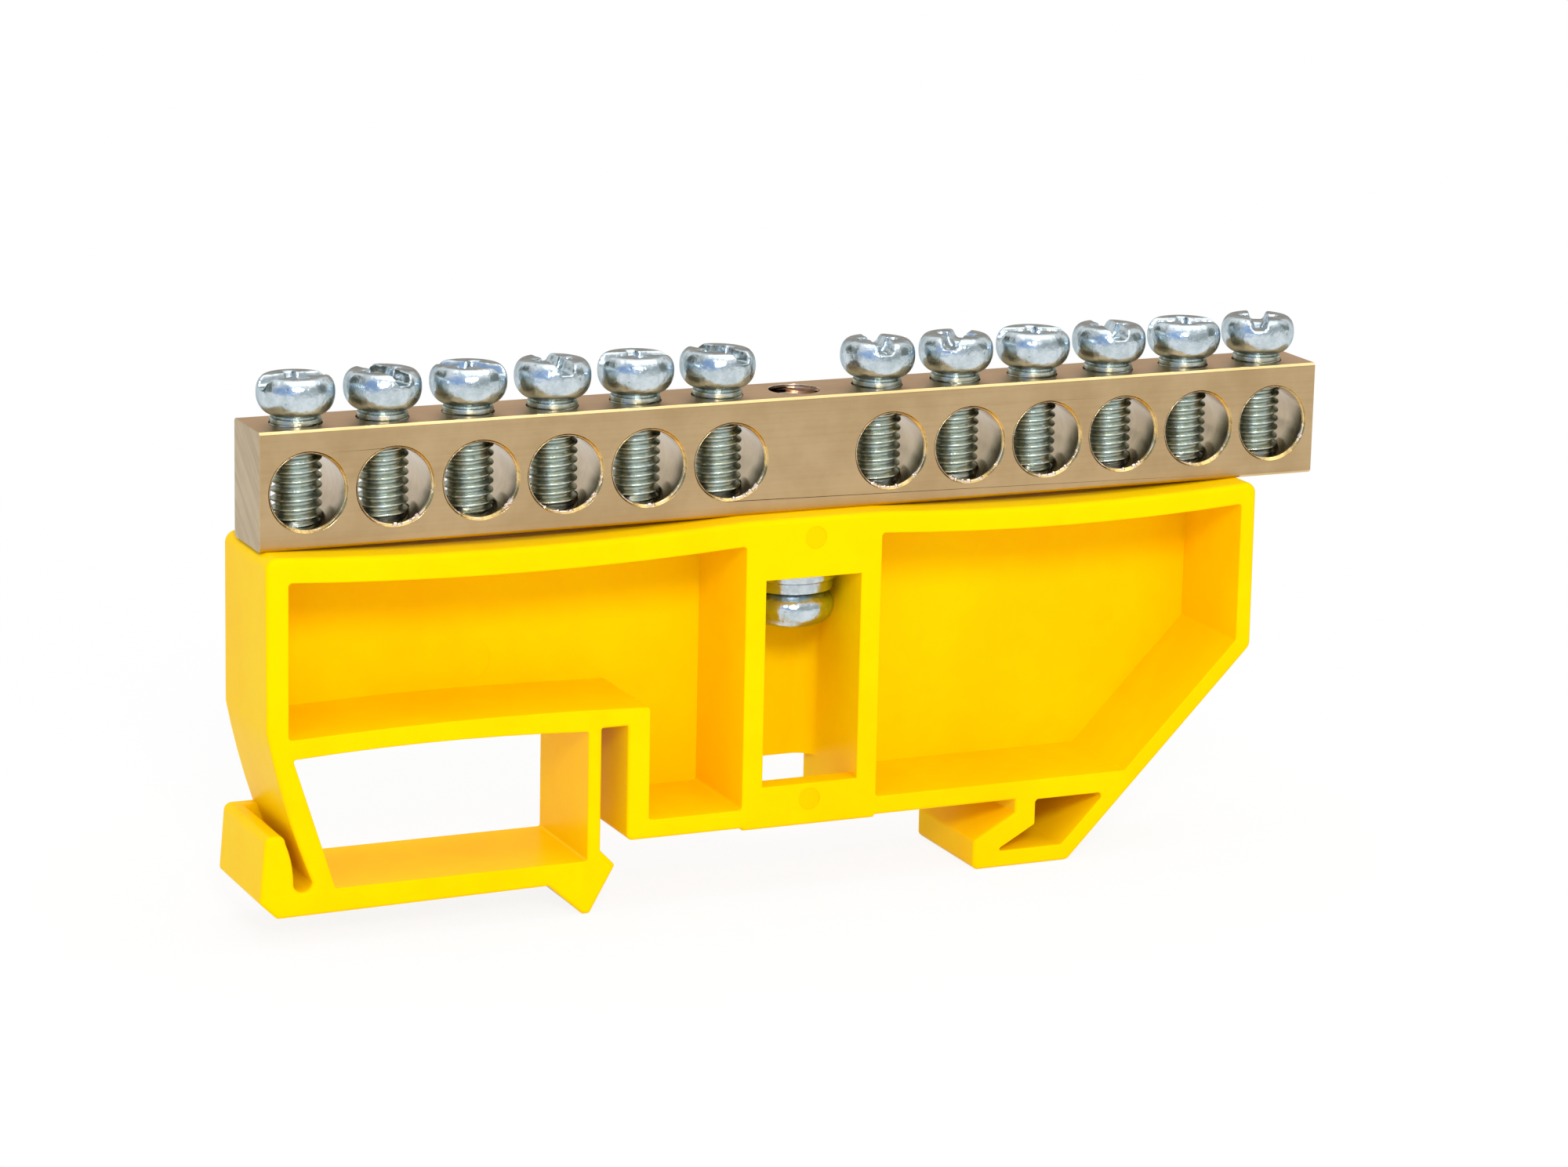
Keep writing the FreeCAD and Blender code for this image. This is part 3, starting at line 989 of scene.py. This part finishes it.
# %% Head
def turned_head(core, bulge, middle, over, under, top, powers, sides=96, steps=9):
    """A barrel-shaped head about Z. It swells at z middle, from under below it to over above it,
    and its powers are those of the upper and the lower half."""
    bottom = middle - under
    outline = [(0.0, bottom)]
    for step in range(-steps, steps + 1):
        lean = step / steps * math.radians(84)
        half, power = (under, powers[1]) if lean < 0 else (over, powers[0])
        z = middle + math.copysign(half * abs(math.sin(lean)) ** (2 / power), lean)
        r = core + bulge * abs(math.cos(lean)) ** (2 / power)
        outline.append((r, min(max(z, bottom), top - 0.06)))
    outline += [(core * 0.6, top - 0.02), (0.0, top)]
    bm = bmesh.new()
    rings = []
    for r, z in outline:
        if r == 0:
            rings.append([bm.verts.new((0, 0, z))])
            continue
        ring = []
        for side in range(sides):
            turn = 2 * math.pi * side / sides
            ring.append(bm.verts.new((r * math.cos(turn), r * math.sin(turn), z)))
        rings.append(ring)
    for lower, upper in zip(rings, rings[1:]):
        for side in range(sides):
            corners = [lower[side % len(lower)], lower[(side + 1) % len(lower)]]
            corners += [upper[(side + 1) % len(upper)], upper[side % len(upper)]]
            corners = list(dict.fromkeys(corners))
            bm.faces.new(corners)
    return bm


def slot_cutter(top, low, high, depth):
    """A straight slot across a head, wider at its top."""
    bm = box_cutter((-4, -low / 2, top - depth), (4, low / 2, top + 0.3))
    for vert in bm.verts:
        if vert.co.z > top:
            vert.co.y *= high / low
    return bm


def cross_wing(top, reach, width, depth, turn):
    """One bar of a cross recess, narrower at its bottom."""
    bm = box_cutter((-reach, -width / 2, top - depth), (reach, width / 2, top + 0.3))
    for vert in bm.verts:
        if vert.co.z < top:
            vert.co.x *= 0.45
            vert.co.y *= 0.6
    bmesh.ops.rotate(bm, cent=(0, 0, 0), matrix=Matrix.Rotation(turn, 3, "Z"), verts=bm.verts)
    return bm


print("head ready")

# %% [markdown]
# ## Twelve clamp screws
#
# All twelve are the same screw, left by the fitter at twelve angles. Each gets its own copy of
# the mesh, stands at its own place and rides on its own body, because each can be raised to let
# a wire in. The object itself turns by quarters only, and the mesh by the rest: a box round a
# turned object is larger than the screw.

# %% Clamp screws
HEAD_GAP = 0.82
HEAD_HEIGHT = 2.8
SCREW_TIP = 25.8
NECK_RADIUS = 1.64
RING_RADIUS = 1.93
SLOT_TURNS = [7, 106, -40, 92, -5, 115, 79, 53, -15, 82, -17, 63]


def clamp_screw(turn):
    """A clamp screw about Z: a head from about z 0 upward, and a neck, a ring and a thread."""
    top = HEAD_HEIGHT
    head = turned_head(1.35, 1.58, middle=1.45, over=1.5, under=1.7, top=top, powers=(2.5, 2.15))
    cutters = [slot_cutter(top, low=0.95, high=1.7, depth=0.85)]
    for side in (0, math.pi / 2):
        cutters.append(cross_wing(top, reach=1.75, width=0.9, depth=1.6, turn=side))
    bm = worked(head, cutters, soft=0.11)
    count = len(bm.faces)
    joined(bm, round_cutter((0, 0, -0.6), (0, 0, 0.7), NECK_RADIUS, 48))
    joined(bm, worked(round_cutter((0, 0, -0.8), (0, 0, 0.42), RING_RADIUS, 48), edge=0.08))
    low = SCREW_TIP - BAR_TOP - HEAD_GAP
    wind_thread(bm, CREST_RADIUS, root=1.53, low=low, high=-0.7)
    bm.faces.ensure_lookup_table()
    for face in bm.faces[count:]:
        face.material_index = 1
    bmesh.ops.rotate(bm, matrix=Matrix.Rotation(math.radians(turn), 3, "Z"), verts=bm.verts)
    return finished_mesh(bm, "clamp_screw", [head_zinc, thread_zinc_with_painted_root_shade])


for number, index in enumerate(PLACES, start=1):
    name = "clamp_screw_%02d" % number
    place = Vector((index * PITCH, 0, BAR_TOP + HEAD_GAP)) * MM
    quarters = number % 4 * 90
    mesh = clamp_screw(SLOT_TURNS[number - 1] - quarters)
    turned = Matrix.Translation(place) @ Matrix.Rotation(math.radians(quarters), 4, "Z")
    add_piece(name + "_plated", mesh, name, [name], turned)

# %% [markdown]
# ## The mounting screw and its washers
#
# One more screw holds the bar, from below, with its head in the compartment in the middle of the
# holder. It is the same kind with a larger head, upside down. Under it lie a spring washer,
# which is a ring cut through on a slant, and a flat washer.

# %% Mounting screw
CEILING = 19.75
WASHER = 0.9
MOUNT_LENGTH = 12.0
MOUNT_HEAD_HEIGHT = 2.9


def mounting_screw():
    """The same kind of screw with a larger head and no cross."""
    top = MOUNT_HEAD_HEIGHT
    head = turned_head(1.7, 1.8, middle=1.35, over=1.55, under=1.35, top=top, powers=(2.1, 2.1))
    bm = worked(head, [slot_cutter(top, low=0.95, high=1.3, depth=1.2)], soft=0.12)
    count = len(bm.faces)
    wind_thread(bm, CREST_RADIUS, root=1.55, low=-MOUNT_LENGTH, high=0.1)
    bm.faces.ensure_lookup_table()
    for face in bm.faces[count:]:
        face.material_index = 1
    return finished_mesh(bm, "mounting_screw", [head_zinc, thread_zinc_with_painted_root_shade])


at_ceiling = Matrix.Translation(Vector((MOUNT_X, 0, CEILING)) * MM)
under_washers = Matrix.Translation(Vector((MOUNT_X, 0, CEILING - 2 * WASHER)) * MM)
add_piece(
    "mounting_screw_plated",
    mounting_screw(),
    "holder",
    ["mounting_screw"],
    under_washers @ Matrix.Rotation(math.pi, 4, "X"),
)
for name in ("flat_washer", "spring_washer"):
    bm = worked(solid_of(name), edge=0.12)
    bmesh.ops.translate(bm, vec=(-MOUNT_X, 0, -CEILING), verts=bm.verts)
    mesh = finished_mesh(bm, name + "_plated", [washer_zinc])
    add_piece(name + "_plated", mesh, "holder", [name], at_ceiling)

# %% [markdown]
# ## The end
#
# The dressed object must fill the same box as the solids.

# %% The end
print("the end")
